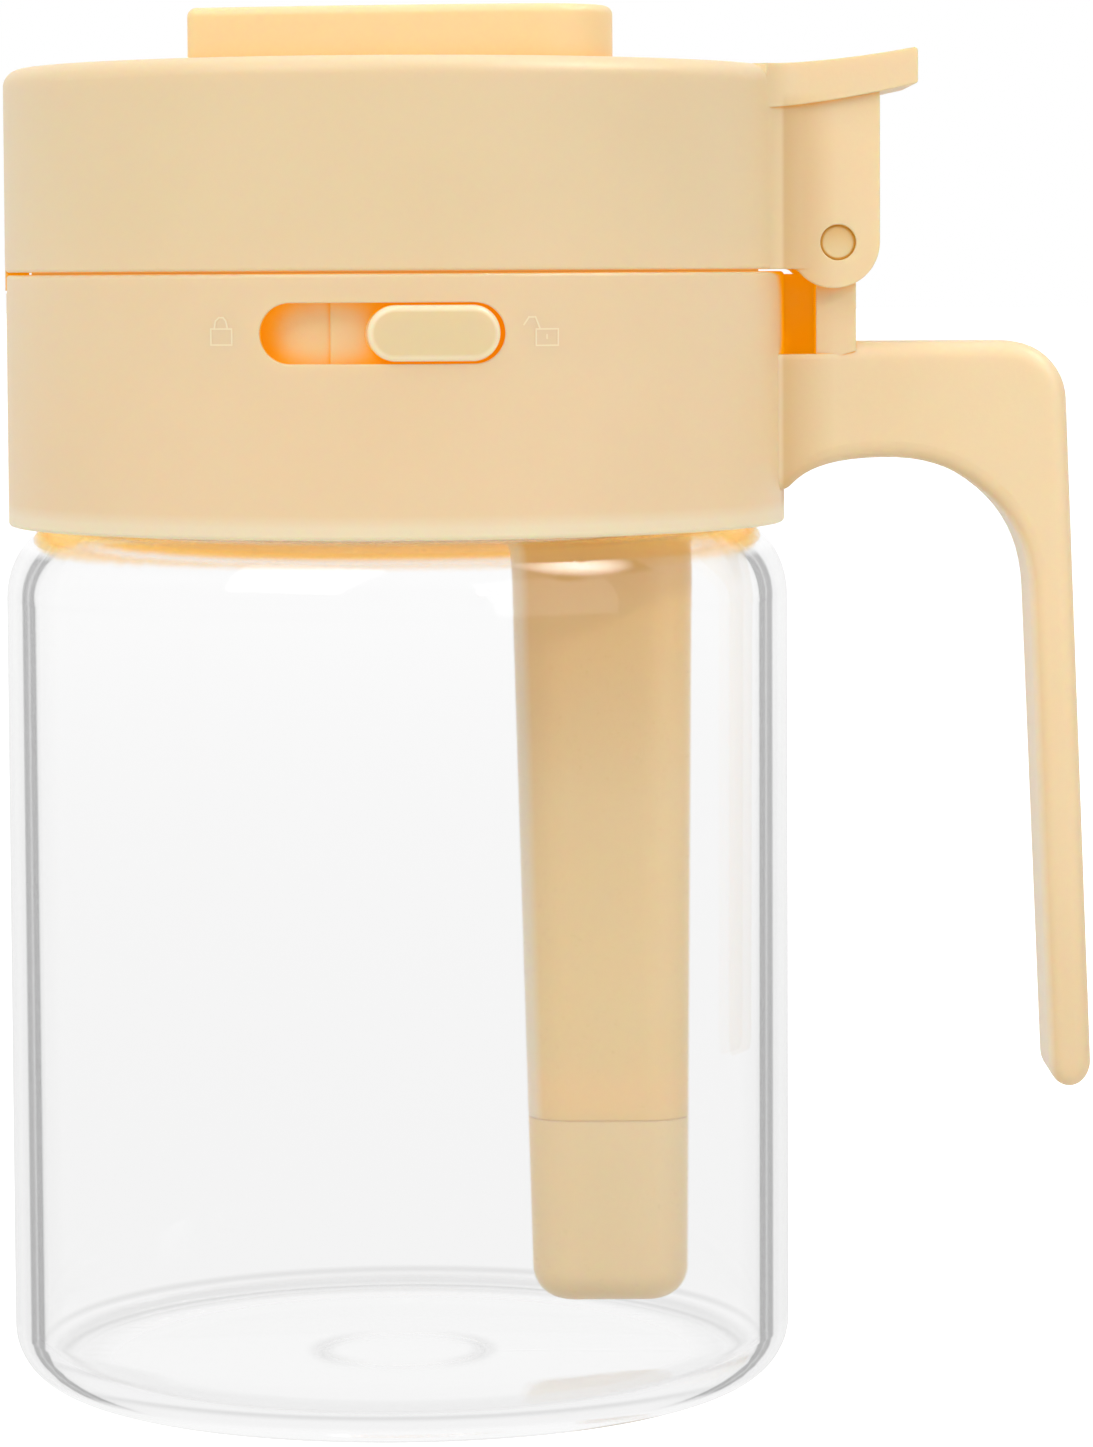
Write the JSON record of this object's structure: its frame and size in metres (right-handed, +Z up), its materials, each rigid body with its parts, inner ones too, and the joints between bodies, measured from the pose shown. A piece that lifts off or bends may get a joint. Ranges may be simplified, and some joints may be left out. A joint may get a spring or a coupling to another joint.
{
  "type": "spice shaker",
  "caption": "Glass seasoning jar with a screwed-on plastic collar and side handle, a hinged lid with thumb lever, a sliding lock, a sifter and a storage tube for a spoon",
  "frame": {"origin": "centre of the jar's round base, on the surface it stands on", "axes": "+Z up along the jar's axis, +X towards the handle and hinge, -Y towards the lock slider"},
  "size_m": [0.1108, 0.0804, 0.1404],
  "materials": {
    "clear_glass": "clear blown borosilicate glass, polished",
    "shell_plastic": "satin pale apricot polypropylene, finely frosted",
    "block_plastic": "satin apricot plastic, slightly deeper shade",
    "knob_plastic": "glossy pale apricot plastic",
    "inner_plastic": "smooth apricot plastic of the hidden and inner mouldings",
    "tube_plastic": "opaque apricot plastic seen through the glass",
    "seal_silicone": "milky white food silicone",
    "spoon_plastic": "smooth white plastic"
  },
  "bodies": {
    "jar": {"glass_jar": "clear_glass"},
    "gasket": {"mouth_gasket": "seal_silicone"},
    "collar": {"collar": "shell_plastic", "thread_ring": "inner_plastic", "inner_plate": "inner_plastic", "sifter_disc": "inner_plastic", "storage_tube": "tube_plastic", "tube_end_cup": "tube_plastic", "spoon": "spoon_plastic"},
    "lid": {"lid_shell": "shell_plastic", "lid_liner": "inner_plastic", "lid_seal": "seal_silicone", "latch_hook": "inner_plastic", "hinge_pin": "knob_plastic", "top_block": "block_plastic"},
    "lock": {"lock_plate": "inner_plastic", "lock_knob": "knob_plastic"}
  },
  "joints": [
    {"name": "collar_lift", "type": "slide", "parent": "jar", "child": "gasket", "axis": [0, 0, 1], "range_m": [0, 0.00501]},
    {"name": "collar_unscrew", "type": "hinge", "parent": "gasket", "child": "collar", "pos_m": [0, 0, 0.1], "axis": [0, 0, 1], "range_deg": [0, 450]},
    {"name": "lid_hinge", "type": "hinge", "parent": "collar", "child": "lid", "pos_m": [0.0448, 0, 0.11655], "axis": [0, 1, 0], "range_deg": [0, 95]},
    {"name": "lock_slide", "type": "hinge", "parent": "collar", "child": "lock", "pos_m": [0, 0, 0.10797], "axis": [0, 0, -1], "range_deg": [0, 14.51]}
  ],
  "couplings": [
    {"joint": "collar_lift", "follows": "collar_unscrew", "m_per_rad": 0.00063662}
  ]
}
